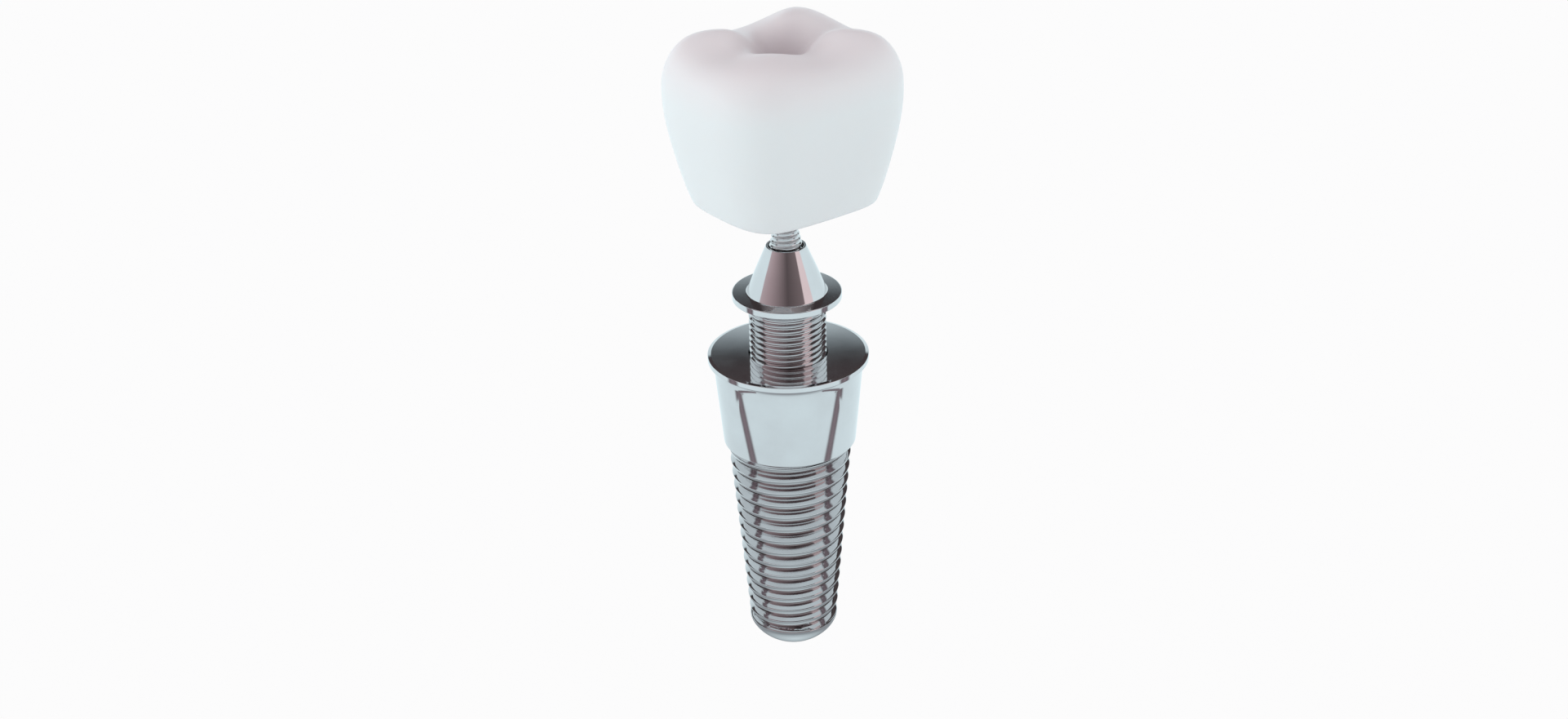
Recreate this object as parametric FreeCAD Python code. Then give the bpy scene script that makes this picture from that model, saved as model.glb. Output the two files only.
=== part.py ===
import FreeCAD, Part
import math
import os
from FreeCAD import Vector

# Dental implant taken apart along its axis: root fixture, abutment, abutment screw and crown.
# Millimetres, +Z up the tooth axis. The origin is on the axis at bone level, where the root
# thread meets the underside of the collar. At rest the abutment stands part unscrewed above the
# platform, and the crown is lifted clear of the screw's tip.

# Collar of the fixture
platform_radius = 3.11  # flat seat on top
rim_radius = 3.25  # half of a 6.5 mm shoulder
rim_bevel = 0.03  # drop from the seat to the rim
rim_band = 0.07  # height of the plain band round the rim
lip_undercut = 0.14  # drop of the lip's underside before it turns down
lip_height = 0.72  # from the seat to where the lip has run in to the wall
collar_height = 3.85
throat_radius = 2.99  # wall where the lip ends
foot_radius = 2.70  # sharp lower edge, which overhangs the thread

# Root thread, right-handed and tapered
crest_radius = 2.54  # over the crests at bone level
crest_taper = 0.0843  # loss of crest radius for each mm of depth
thread_pitch = 0.59
thread_depth = 0.33
crest_land = 0.10  # height of the band under each crest edge
shelf_height = 0.06  # height of the nearly level upper flank
wall_turn_start = math.radians(10)  # the wall between them follows this part of an arc
wall_turn_end = math.radians(50)
band_share = 0.2  # where the band ends, as a share of the outline's points
root_share = 0.7  # where the wall reaches the root
first_crest_depth = 0.20  # below the collar, at the front
apex_depth = 8.42  # where the thread ends on the rounded end piece
apex_radius = 1.85
apex_bevel = 0.03
apex_height = 1.33

# Abutment, a sleeve with a flange and a cone
flange_radius = 2.187
flange_thickness = 0.26
flange_bevel = 0.035
cone_base_radius = 1.60
cone_top_radius = 0.795
cone_height = 1.965
cone_foot_fillet = 0.06

# Abutment screw: shank into the fixture, stem through the abutment, tip into the crown
shank_radius = 1.549
shank_length = 4.60
shank_neck_radius = 1.42
shank_neck_length = 0.12
shank_chamfer = 0.15
stem_radius = 0.65
tip_length = 0.95  # what stands above the cone
tip_end_radius = 0.455
tip_chamfer = 0.06

# Crown, a molar with four cusps
margin_half_width = 2.836
margin_half_length = 3.206
crown_height = 6.10  # margin to the saddles between the cusps
crown_turn = -53.0  # degrees from +X to the middle of a narrow side
cusp_height = 1.055
fossa_depth = 0.456  # middle of the chewing face below the saddles
fossa_ring_rise = 0.05  # innermost ring of the surface above that middle
fossa_ring_size = 0.22  # its size beside the margin's
fossa_cusp_share = 0.15  # how much of the cusps it takes

# Clearances
bore_clearance = 0.05
stem_clearance = 0.06
socket_clearance = 0.05
seat_gap = 0.02

# How far apart the pieces stand at rest
abutment_lift = 2.443  # flange underside above the platform
crown_lift = 4.152  # crown margin above the flange underside

# Heights worked out from the sizes above
platform_z = collar_height
flange_z = platform_z + abutment_lift
cone_z = flange_z + flange_thickness
cone_top_z = cone_z + cone_height
margin_z = flange_z + crown_lift


def point(radius, height):
    """A point of an outline that is turned about the Z axis."""
    return Vector(radius, 0, height)


def straight(*points):
    """Straight edges from point to point."""
    return [Part.makeLine(a, b) for a, b in zip(points, points[1:])]


def bezier(*poles):
    curve = Part.BezierCurve()
    curve.setPoles(list(poles))
    return curve.toShape()


def quarter_ellipse(side, end):
    """A quarter of an ellipse, upright at its side point and level at its lower end."""
    curve = Part.BezierCurve()
    curve.setPoles([side, point(side.x, end.z), end])
    curve.setWeight(2, math.sqrt(0.5))
    return curve.toShape()


def revolve(edges):
    """Turn a closed outline once about the Z axis."""
    wire = Part.Wire(Part.__sortEdges__(edges))
    return Part.Face(wire).revolve(Vector(0, 0, 0), Vector(0, 0, 1), 360)


def closed(edges):
    """Close an outline along the axis and turn it."""
    ends = [edges[0].Vertexes[0].Point, edges[-1].Vertexes[-1].Point]
    return revolve(edges + straight(*ends))


def turned(*points):
    """A turned solid with straight walls, whose first and last points are on the axis."""
    return closed(straight(*points))


def interpolated(points):
    """A curve through the points at even parameters."""
    curve = Part.BSplineCurve()
    curve.interpolate(Points=points, Parameters=[float(i) for i in range(len(points))])
    return curve


def grid_face(grid):
    """A smooth face through a grid of points.

    Its edges depend on their own points alone, so faces that share a row or a column of points
    share that edge exactly.
    """
    rows = [interpolated(row) for row in grid]
    columns = [interpolated([row.getPole(j + 1) for row in rows]) for j in range(rows[0].NbPoles)]
    poles = [[column.getPole(i + 1) for column in columns] for i in range(columns[0].NbPoles)]
    surface = Part.BSplineSurface()
    surface.buildFromPolesMultsKnots(
        poles,
        columns[0].getMultiplicities(),
        rows[0].getMultiplicities(),
        columns[0].getKnots(),
        rows[0].getKnots(),
        False,
        False,
        columns[0].Degree,
        rows[0].Degree,
    )
    return surface.toShape()


def edge_between(face, a, b):
    """The face's edge that joins two points."""

    def joins(edge):
        ends = [edge.Vertexes[0].Point, edge.Vertexes[-1].Point]
        return all(min(end.distanceToPoint(p) for end in ends) < 1e-4 for p in (a, b))

    return next(edge for edge in face.Edges if joins(edge))


def threaded_rod(outline, strips, turns, start_angle):
    """A solid rod with a right-hand thread, three faces to each strip and turn.

    outline(turn, share) gives the radius and height at a number of turns down the thread and a
    share of the way from one crest edge to the next. Each strip is the share where it starts
    and the share where it ends, and it runs straight between them. Each end of the rod is
    closed by screw-shaped faces and the step that they leave.
    """
    third = 1 / 3
    steps = 4  # of each face along the thread

    def place(turn, share):
        radius, height = outline(turn, share)
        angle = start_angle - 2 * math.pi * turn
        return Vector(radius * math.cos(angle), radius * math.sin(angle), height)

    def axis_point(turn):
        return Vector(0, 0, outline(turn, 0.0)[1])

    def wall(k, strip):
        stations = [(k + i / steps) * third for i in range(steps + 1)]
        return grid_face([[place(turn, share) for share in strip] for turn in stations])

    rows = [[wall(k, strip) for strip in strips] for k in range(3 * turns)]
    faces = [face for row in rows for face in row]

    def close_end(crest_walls, first_turn, share, step_walls, step_turn):
        below = first_turn + share
        cores = []
        for i, face in enumerate(crest_walls):
            a, b = i * third, (i + 1) * third
            crest = edge_between(face, place(first_turn + a, share), place(first_turn + b, share))
            crest.Orientation = "Reversed"  # else the ruled face comes out crossed
            cores.append(Part.makeLine(axis_point(below + a), axis_point(below + b)))
            faces.append(Part.makeRuledSurface(crest, cores[-1]))
        step = [
            edge_between(face, place(step_turn, first), place(step_turn, last))
            for face, (first, last) in zip(step_walls, strips)
        ]
        outer = Part.makeLine(place(step_turn, 0.0), axis_point(step_turn))
        inner = Part.makeLine(axis_point(step_turn + 1), place(step_turn, 1.0))
        faces.append(Part.Face(Part.Wire(Part.__sortEdges__(step + [outer, inner] + cores))))

    close_end([row[0] for row in rows[:3]], 0, 0.0, rows[0], 0)
    close_end([row[-1] for row in rows[-3:]], turns - 1, 1.0, rows[-1], turns)
    shell = Part.Shell(faces)
    shell.sewShape()
    solid = Part.Solid(shell)
    if solid.Volume < 0:
        solid.reverse()
    return solid


def root_groove(share):
    """Drop and depth of the root thread's outline between one crest edge and the next.

    Under the crest edge is a narrow band. From there the wall bulges down and inwards to the
    root, and a nearly level shelf runs out from the root to the next crest edge.
    """
    wall_height = thread_pitch - crest_land - shelf_height
    if share <= band_share:
        return crest_land * share / band_share, 0.0
    if share <= root_share:
        along = (share - band_share) / (root_share - band_share)
        turn = wall_turn_start + (wall_turn_end - wall_turn_start) * along
        down = math.sin(turn) - math.sin(wall_turn_start)
        inwards = math.cos(wall_turn_start) - math.cos(turn)
        whole_down = math.sin(wall_turn_end) - math.sin(wall_turn_start)
        whole_inwards = math.cos(wall_turn_start) - math.cos(wall_turn_end)
        return crest_land + wall_height * down / whole_down, thread_depth * inwards / whole_inwards
    out = (share - root_share) / (1 - root_share)
    return thread_pitch - shelf_height * (1 - out), thread_depth * (1 - out)


def root_thread():
    """The tapered root with its thread, which ends inside the rounded end."""
    turns_above = 2  # hidden in the collar
    start_angle = math.radians(50)
    front = (start_angle + math.pi / 2) / (2 * math.pi)  # turns from the start to the front
    sunk = 0.05  # the rod narrows from here on inside the rounded end
    top_crest = (turns_above + front) * thread_pitch - first_crest_depth
    turns = math.ceil((top_crest + apex_depth + sunk) / thread_pitch)

    def outline(turn, share):
        drop, depth = root_groove(share)
        height = top_crest - thread_pitch * turn - drop
        narrowing = max(0.0, -height - apex_depth - sunk)
        return crest_radius + crest_taper * height - depth - narrowing, height

    wall_middle = (band_share + root_share) / 2
    shares = (0.0, band_share, wall_middle, root_share, 1.0)
    return threaded_rod(outline, list(zip(shares, shares[1:])), turns, start_angle)


def rounded_end():
    """The plain end of the root, like the bottom of a bowl."""
    rim = point(apex_radius, -apex_depth - apex_bevel)
    top = straight(
        point(0, -apex_depth),
        point(apex_radius - apex_bevel, -apex_depth),
        rim,
    )
    return closed(top + [quarter_ellipse(rim, point(0, -apex_depth - apex_height))])


def fixture():
    """Root, collar and platform in one piece, with the plain bore that takes the shank."""
    rim_top = platform_z - rim_bevel
    rim_foot = rim_top - rim_band
    throat_z = platform_z - lip_height
    lip = bezier(
        point(rim_radius, rim_foot),
        point(throat_radius, rim_foot - lip_undercut),
        point(throat_radius, throat_z),
    )
    top = straight(
        point(0, platform_z),
        point(platform_radius, platform_z),
        point(rim_radius, rim_top),
        point(rim_radius, rim_foot),
    )
    wall = straight(point(throat_radius, throat_z), point(foot_radius, 0), point(0, 0))
    collar = closed(top + [lip] + wall)

    bore_radius = shank_radius + bore_clearance
    bore_foot = platform_z - shank_length - seat_gap - bore_clearance
    drill_point = bore_foot - bore_radius * math.tan(math.radians(31))
    bore = turned(
        point(0, platform_z + seat_gap),
        point(bore_radius, platform_z + seat_gap),
        point(bore_radius, bore_foot),
        point(0, drill_point),
    )
    return collar.fuse([root_thread(), rounded_end()]).cut(bore).removeSplitter()


def abutment():
    """Flange and cone, bored through for the stem."""
    bore_radius = stem_radius + stem_clearance
    outline = straight(
        point(bore_radius, cone_top_z),
        point(bore_radius, flange_z),
        point(flange_radius, flange_z),
        point(flange_radius, cone_z - flange_bevel),
        point(flange_radius - flange_bevel, cone_z),
        point(cone_base_radius, cone_z),
        point(cone_top_radius, cone_top_z),
        point(bore_radius, cone_top_z),
    )
    body = revolve(outline)
    foot = [edge for edge in body.Edges if on_circle(edge, cone_base_radius, cone_z)]
    return body.makeFillet(cone_foot_fillet, foot)


def on_circle(edge, radius, height):
    """Whether the edge is the circle of that radius about the axis at that height."""
    box = edge.BoundBox
    level = abs(box.ZMin - height) < 1e-6 and abs(box.ZMax - height) < 1e-6
    return level and abs(box.XMax - radius) < 1e-6


def abutment_screw():
    """Shank, stem and tapered tip in one piece, at the major size of their threads."""
    shank_top = flange_z - seat_gap
    neck_foot = shank_top - shank_neck_length
    shank_foot = flange_z - shank_length
    tip_z = cone_top_z + tip_length
    return turned(
        point(0, tip_z),
        point(tip_end_radius - tip_chamfer, tip_z),
        point(tip_end_radius, tip_z - tip_chamfer),
        point(stem_radius, cone_top_z),
        point(stem_radius, shank_top),
        point(shank_neck_radius, shank_top),
        point(shank_neck_radius, neck_foot),
        point(shank_radius, neck_foot),
        point(shank_radius, shank_foot + shank_chamfer),
        point(shank_radius - shank_chamfer, shank_foot),
        point(0, shank_foot),
    )


# Rings of the crown's surface from the margin up over the cusps and down to the fossa.
# Each has its size beside the margin's, its height as a share of the crown's, how much of the
# cusps it takes, and how square it is across the narrow and the long sides.
crown_rings = (
    (1.000, 0.000, 0.00, 3.28, 4.74),
    (1.075, 0.087, 0.00, 3.23, 4.54),
    (1.188, 0.308, 0.00, 3.18, 4.33),
    (1.309, 0.587, 0.00, 3.12, 4.13),
    (1.330, 0.819, 0.00, 3.07, 3.93),
    (1.290, 0.901, 0.20, 2.93, 3.62),
    (1.133, 0.992, 0.55, 2.78, 3.31),
    (0.773, 1.001, 0.80, 2.64, 3.00),
    (0.496, 1.024, 0.60, 2.49, 2.69),
)
# Corner of each cusp, its share of the cusp height, and how narrow it is.
crown_cusps = ((1, 1, 1.00, 8.4), (1, -1, 0.56, 4.2), (-1, 1, 1.04, 8.2), (-1, -1, 0.945, 7.6))


def cusp_rise(angle):
    """Height of the cusps above the saddles in a direction about the crown's middle."""
    rise = 0.0
    for width_side, length_side, share, narrowness in crown_cusps:
        corner = math.atan2(length_side * margin_half_length, width_side * margin_half_width)
        rise += cusp_height * share * max(0.0, math.cos(angle - corner)) ** narrowness
    return rise


def crown_ring(size, height, cusp_share, squareness_x, squareness_y, count=24):
    """Poles of one closed ring, a rounded rectangle that waves over the cusps."""
    ring = []
    for j in range(count):
        angle = 2 * math.pi * j / count
        cosine, sine = math.cos(angle), math.sin(angle)
        x = math.copysign(abs(cosine) ** (2 / squareness_x), cosine) * margin_half_width * size
        y = math.copysign(abs(sine) ** (2 / squareness_y), sine) * margin_half_length * size
        ring.append(Vector(x, y, height + cusp_share * cusp_rise(math.atan2(y, x))))
    return ring


def crown_body():
    """The crown's outer form, solid, with its margin at height zero."""
    rings = [crown_ring(size, rise * crown_height, *rest) for size, rise, *rest in crown_rings]
    fossa_z = crown_height - fossa_depth
    rim = crown_rings[-1][3:]
    rings.append(crown_ring(fossa_ring_size, fossa_z + fossa_ring_rise, fossa_cusp_share, *rim))
    rings.append([Vector(0, 0, fossa_z)] * len(rings[0]))
    inner_knots = len(rings) - 4
    surface = Part.BSplineSurface()
    surface.buildFromPolesMultsKnots(
        rings,
        [4] + [1] * inner_knots + [4],
        [1] * (len(rings[0]) + 1),
        [float(i) for i in range(inner_knots + 2)],
        [float(i) for i in range(len(rings[0]) + 1)],
        False,
        True,
        3,
        3,
    )
    wall = surface.toShape()
    margin = [edge for edge in wall.Edges if edge.BoundBox.ZMax < 1e-6]
    shell = Part.Shell([wall, Part.Face(Part.Wire(margin))])
    shell.sewShape()
    solid = Part.Solid(shell)
    if solid.Volume < 0:
        solid.reverse()
    return solid


def crown():
    """The crown over its socket: a recess for the flange, a cone and a hole for the tip."""
    recess_roof = flange_thickness + socket_clearance
    cone_roof = flange_thickness + cone_height + socket_clearance
    tip_roof = cone_roof + tip_length
    recess_radius = flange_radius + socket_clearance
    foot_radius_inside = cone_base_radius + socket_clearance
    roof_radius = cone_top_radius + socket_clearance
    hole_radius = stem_radius + socket_clearance
    socket = turned(
        point(0, -seat_gap),
        point(recess_radius, -seat_gap),
        point(recess_radius, recess_roof),
        point(foot_radius_inside, recess_roof),
        point(roof_radius, cone_roof),
        point(hole_radius, cone_roof),
        point(hole_radius, tip_roof),
        point(0, tip_roof),
    )
    solid = crown_body().cut(socket)
    solid.rotate(Vector(0, 0, 0), Vector(0, 0, 1), crown_turn)
    solid.translate(Vector(0, 0, margin_z))
    return solid


def main():
    os.makedirs("parts", exist_ok=True)
    pieces = {
        "implant_fixture": fixture(),
        "abutment": abutment(),
        "abutment_screw": abutment_screw(),
        "crown": crown(),
    }
    for name, shape in pieces.items():
        solid = shape.Solids[0]
        print(name, "valid", solid.isValid(), "solids", len(shape.Solids), "mm3", solid.Volume)
        solid.exportStep(os.path.join("parts", name + ".step"))


if __name__ == "__main__":
    main()
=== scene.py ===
"""Looks of a dental implant that is shown taken apart along its axis.

Sizes are in millimetres, heights are measured from bone level, and the meshes are in metres in the
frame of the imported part.
"""

import logging
import math
from contextlib import contextmanager
from dataclasses import dataclass
from enum import Enum
from typing import Any, Callable, Iterator, Sequence

import bpy
from mathutils import Matrix, Vector


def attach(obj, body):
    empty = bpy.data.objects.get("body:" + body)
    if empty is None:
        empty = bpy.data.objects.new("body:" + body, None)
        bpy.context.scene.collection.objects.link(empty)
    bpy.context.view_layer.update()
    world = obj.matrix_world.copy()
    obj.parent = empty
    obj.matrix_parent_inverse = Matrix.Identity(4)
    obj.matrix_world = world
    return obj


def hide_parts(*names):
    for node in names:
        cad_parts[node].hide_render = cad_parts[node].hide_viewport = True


MM = 0.001
MERGE_DISTANCE = MM * 0.0005
OVERSHOOT = 0.5  # how far outside a piece its drill starts
Piece = bpy.types.Object
Tree = bpy.types.NodeTree
Node = bpy.types.Node
Socket = bpy.types.NodeSocket
Source = Node | Socket
Stops = Sequence[tuple[float, str]]
log = logging.getLogger("implant")

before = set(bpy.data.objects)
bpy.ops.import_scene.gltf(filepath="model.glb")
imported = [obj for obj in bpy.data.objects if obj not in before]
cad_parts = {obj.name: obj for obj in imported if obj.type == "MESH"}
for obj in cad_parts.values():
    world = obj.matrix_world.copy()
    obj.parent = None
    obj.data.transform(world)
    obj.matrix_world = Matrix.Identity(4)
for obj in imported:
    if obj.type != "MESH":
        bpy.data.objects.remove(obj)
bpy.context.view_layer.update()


class Body(Enum):
    """The rigid bodies of the part that pieces ride on."""

    ROOT = "root"
    ABUTMENT = "abutment_body"
    SCREW = "screw_body"
    CROWN = "crown_body"


class Cut(Enum):
    """What a tool body does to a piece."""

    JOIN = "UNION"
    REMOVE = "DIFFERENCE"


@dataclass(frozen=True)
class Corner:
    """A corner of a turned outline, with the radius that it is rounded to."""

    radius: float
    height: float
    rounding: float = 0.0

    def at(self) -> Vector:
        """The corner in the outline's plane."""
        return Vector((self.radius, self.height))


# ---------------------------------------------------------------- mesh work


def pick(piece: Piece) -> None:
    """Select one piece and nothing else, and make it the active one.

    Args:
        piece: the piece that is wanted.
    """
    bpy.ops.object.select_all(action="DESELECT")
    bpy.context.view_layer.objects.active = piece
    piece.select_set(True)


@contextmanager
def editing(piece: Piece) -> Iterator[None]:
    """Open one piece, and nothing else, in edit mode with all of it selected.

    Args:
        piece: the mesh object to work on.
    """
    pick(piece)
    bpy.ops.object.mode_set(mode="EDIT")
    bpy.ops.mesh.select_mode(type="VERT")
    bpy.ops.mesh.select_all(action="SELECT")
    yield
    bpy.ops.object.mode_set(mode="OBJECT")


def select_where(piece: Piece, kind: str, test: Callable[[Any], bool]) -> None:
    """Select the vertices, edges or faces that pass a test, from inside edit mode.

    Args:
        piece: the piece that is open in edit mode.
        kind: VERT, EDGE or FACE.
        test: takes a vertex, edge or polygon and says whether it is wanted.
    """
    bpy.ops.mesh.select_mode(type=kind)
    bpy.ops.mesh.select_all(action="DESELECT")
    bpy.ops.object.mode_set(mode="OBJECT")
    mesh = piece.data
    parts = {"VERT": mesh.vertices, "EDGE": mesh.edges, "FACE": mesh.polygons}[kind]
    for part in parts:
        part.select = test(part)
    bpy.ops.object.mode_set(mode="EDIT")


def apply_modifier(piece: Piece, kind: str, **settings: Any) -> None:
    """Add a modifier to a piece and apply it.

    Args:
        piece: the mesh object.
        kind: Blender's name for the modifier.
        settings: the modifier's values.
    """
    modifier = piece.modifiers.new(kind.lower(), kind)
    for key, value in settings.items():
        setattr(modifier, key, value)
    pick(piece)
    bpy.ops.object.modifier_apply(modifier=modifier.name)


def draw_outline(name: str, points: Sequence[Vector]) -> Piece:
    """Draw a chain of edges in the plane of the axis, one extrusion to a point.

    Args:
        name: the new piece's name.
        points: radius and height of each point, in millimetres.

    Returns:
        The outline as a mesh object with edges only.
    """
    bpy.ops.object.select_all(action="DESELECT")
    bpy.ops.mesh.primitive_plane_add(size=MM)
    piece = bpy.context.object
    piece.name = name
    with editing(piece):
        bpy.ops.mesh.merge(type="CENTER")
        bpy.ops.transform.translate(value=(points[0].x * MM, 0, points[0].y * MM))
        for start, end in zip(points, points[1:]):
            step = (end - start) * MM
            bpy.ops.mesh.extrude_region_move(TRANSFORM_OT_translate={"value": (step.x, 0, step.y)})
    return piece


def rounded(corners: Sequence[Corner], steps: int = 4) -> list[Vector]:
    """Round an outline's corners and hold each rounding with a point on either side.

    Args:
        corners: the outline's corners in order.
        steps: number of flats that make up each rounding.

    Returns:
        Points of the outline, radius and height.
    """
    points = [corners[0].at()]
    for before, corner, after in zip(corners, corners[1:], corners[2:]):
        here = corner.at()
        if not corner.rounding:
            points.append(here)
            continue
        back = (before.at() - here).normalized()
        on = (after.at() - here).normalized()
        half = back.angle(on) / 2
        reach = corner.rounding / math.tan(half)
        middle = here + (back + on).normalized() * corner.rounding / math.sin(half)
        first, last = here + back * reach, here + on * reach
        hold = 0.5 * reach
        points.append(first + back * hold)
        for i in range(steps + 1):
            spoke = (first - middle).slerp(last - middle, i / steps)
            points.append(middle + spoke.normalized() * corner.rounding)
        points.append(last + on * hold)
    points.append(corners[-1].at())
    return points


def spin_outline(name: str, points: Sequence[Vector], segments: int) -> Piece:
    """Turn an outline once about the axis, as on a lathe.

    Args:
        name: the new piece's name.
        points: the outline, radius and height.
        segments: flats round the axis.

    Returns:
        A closed piece whose faces point outwards.
    """
    piece = draw_outline(name, points)
    with editing(piece):
        bpy.ops.mesh.spin(steps=segments, angle=2 * math.pi, center=(0, 0, 0), axis=(0, 0, 1))
        close_up()
    return piece


def close_up() -> None:
    """Merge doubles and point the faces outwards, in edit mode."""
    bpy.ops.mesh.select_all(action="SELECT")
    bpy.ops.mesh.remove_doubles(threshold=MERGE_DISTANCE)
    bpy.ops.mesh.normals_make_consistent(inside=False)


def face_outwards(piece: Piece) -> None:
    """Turn a closed piece's faces round if they enclose a negative volume.

    Args:
        piece: the closed piece.
    """
    volume = sum(f.center.dot(f.normal) * f.area for f in piece.data.polygons)
    if volume < 0:
        with editing(piece):
            bpy.ops.mesh.flip_normals()


def combine(piece: Piece, tool: Piece, cut: Cut) -> None:
    """Join a tool body to a piece or take it out of it, and remove the tool.

    Args:
        piece: the piece that stays.
        tool: the body that is used up.
        cut: whether the tool is joined or removed.
    """
    apply_modifier(piece, "BOOLEAN", object=tool, operation=cut.value, solver="EXACT")
    bpy.data.objects.remove(tool)


def smooth(piece: Piece, degrees: float) -> None:
    """Shade a piece smooth except at edges sharper than an angle."""
    pick(piece)
    bpy.ops.object.shade_smooth_by_angle(angle=math.radians(degrees))


def place_piece(piece: Piece, body: Body, node: str, finish: "Finish") -> None:
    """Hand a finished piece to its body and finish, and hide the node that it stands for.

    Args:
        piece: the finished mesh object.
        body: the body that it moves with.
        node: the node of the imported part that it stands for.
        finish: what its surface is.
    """
    piece.data.materials.clear()
    piece.data.materials.append(finish.material())
    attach(piece, body.value)
    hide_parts(node)
    log.info("%s: %d faces", piece.name, len(piece.data.polygons))


@dataclass(frozen=True)
class Thread:
    """A right-hand screw thread, swept from the outline of one turn."""

    crest_radius: float
    pitch: float
    top_height: float
    turns: int
    groove: tuple[Vector, ...]
    taper: float = 0.0
    segments: int = 96

    @property
    def span(self) -> float:
        """Height of the whole rod."""
        return self.pitch * (self.turns + 1)

    def sweep(self, name: str) -> Piece:
        """Sweep one turn's outline down the axis, taper it and close both ends.

        Args:
            name: the new piece's name.

        Returns:
            A closed threaded rod.
        """
        points = [Vector((self.crest_radius - p.x, self.top_height - p.y)) for p in self.groove]
        rod = draw_outline(name, points)
        apply_modifier(
            rod,
            "SCREW",
            angle=-2 * math.pi,
            screw_offset=-self.pitch * MM,
            iterations=self.turns,
            steps=self.segments,
            render_steps=self.segments,
            axis="Z",
            use_merge_vertices=True,
            merge_threshold=MERGE_DISTANCE,
            use_normal_calculate=True,
        )
        if self.taper:
            apply_modifier(
                rod,
                "SIMPLE_DEFORM",
                deform_method="TAPER",
                deform_axis="Z",
                factor=self.taper / self.crest_radius * self.span,
            )
        with editing(rod):
            for top in (True, False):
                self._close_end(rod, top)
            close_up()
        face_outwards(rod)
        return rod

    def _close_end(self, rod: Piece, top: bool) -> None:
        """Fill the open edge at one end of the rod.

        Args:
            rod: the swept thread, open in edit mode.
            top: fill the upper end, or else the lower one.
        """
        middle = (self.top_height - self.span / 2) * MM
        bpy.ops.mesh.select_mode(type="EDGE")
        bpy.ops.mesh.select_all(action="DESELECT")
        bpy.ops.mesh.select_non_manifold()
        bpy.ops.object.mode_set(mode="OBJECT")
        mesh = rod.data
        for edge in mesh.edges:
            height = mesh.vertices[edge.vertices[0]].co.z
            edge.select = edge.select and (height > middle) == top
        bpy.ops.object.mode_set(mode="EDIT")
        bpy.ops.mesh.edge_face_add()


# ---------------------------------------------------------------- finishes


def linear(code: str) -> tuple[float, float, float, float]:
    """Turn an sRGB hex colour to linear light.

    Args:
        code: six hex digits.

    Returns:
        Red, green, blue and alpha.
    """
    shares = [int(code[i : i + 2], 16) / 255 for i in (0, 2, 4)]
    red, green, blue = (s / 12.92 if s <= 0.04045 else ((s + 0.055) / 1.055) ** 2.4 for s in shares)
    return red, green, blue, 1.0


def add_node(tree: Tree, kind: str, settings: dict[str, Any] | None = None, **inputs: Any) -> Node:
    """Add a node, set its properties and fill or link its inputs.

    Args:
        tree: the node tree.
        kind: the node's type.
        settings: the node's own properties.
        inputs: by name, with underscores for spaces, or by number after an underscore; a
            socket is linked, and a node by its first output.

    Returns:
        The new node.
    """
    node = tree.nodes.new(kind)
    for key, value in (settings or {}).items():
        setattr(node, key, value)
    for key, value in inputs.items():
        socket = node.inputs[int(key[1:]) if key[1:].isdigit() else key.replace("_", " ")]
        if isinstance(value, Node):
            value = value.outputs[0]
        if isinstance(value, Socket):
            tree.links.new(value, socket)
        else:
            socket.default_value = value
    return node


def emptied(owner: bpy.types.Material | bpy.types.World) -> Tree:
    """Switch on the nodes of a material or world, and empty them.

    Args:
        owner: the material or world.

    Returns:
        Its node tree.
    """
    owner.use_nodes = True
    owner.node_tree.nodes.clear()
    return owner.node_tree


def colour_ramp(tree: Tree, factor: Source, stops: Stops) -> Socket:
    """Lay a colour ramp over a value.

    Args:
        tree: the node tree.
        factor: the value that picks the colour.
        stops: place and hex colour of each stop.

    Returns:
        The ramp's colour output.
    """
    node = add_node(tree, "ShaderNodeValToRGB", Fac=factor)
    ramp = node.color_ramp
    while len(ramp.elements) < len(stops):
        ramp.elements.new(1.0)
    for element, (place, code) in zip(ramp.elements, stops):
        element.position = place
        element.color = linear(code)
    return node.outputs["Color"]


def axis_distance(tree: Tree, place: Socket) -> Socket:
    """Distance of each point from the upright axis.

    Args:
        tree: the node tree.
        place: object coordinates.

    Returns:
        The distance, in metres.
    """
    flat = add_node(tree, "ShaderNodeVectorMath", {"operation": "MULTIPLY"}, _0=place, _1=(1, 1, 0))
    return add_node(tree, "ShaderNodeVectorMath", {"operation": "LENGTH"}, _0=flat).outputs["Value"]


@dataclass(frozen=True)
class Finish:
    """A surface finish, made into one Blender material."""

    name: str

    def material(self) -> bpy.types.Material:
        """The finish's material, made on first use.

        Returns:
            The material.
        """
        found = bpy.data.materials.get(self.name)
        if found:
            return found
        made = bpy.data.materials.new(self.name)
        tree = emptied(made)
        add_node(tree, "ShaderNodeOutputMaterial", Surface=self.shade(tree))
        return made

    def shade(self, tree: Tree) -> Node:
        """Build the surface shader."""
        raise NotImplementedError


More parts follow.
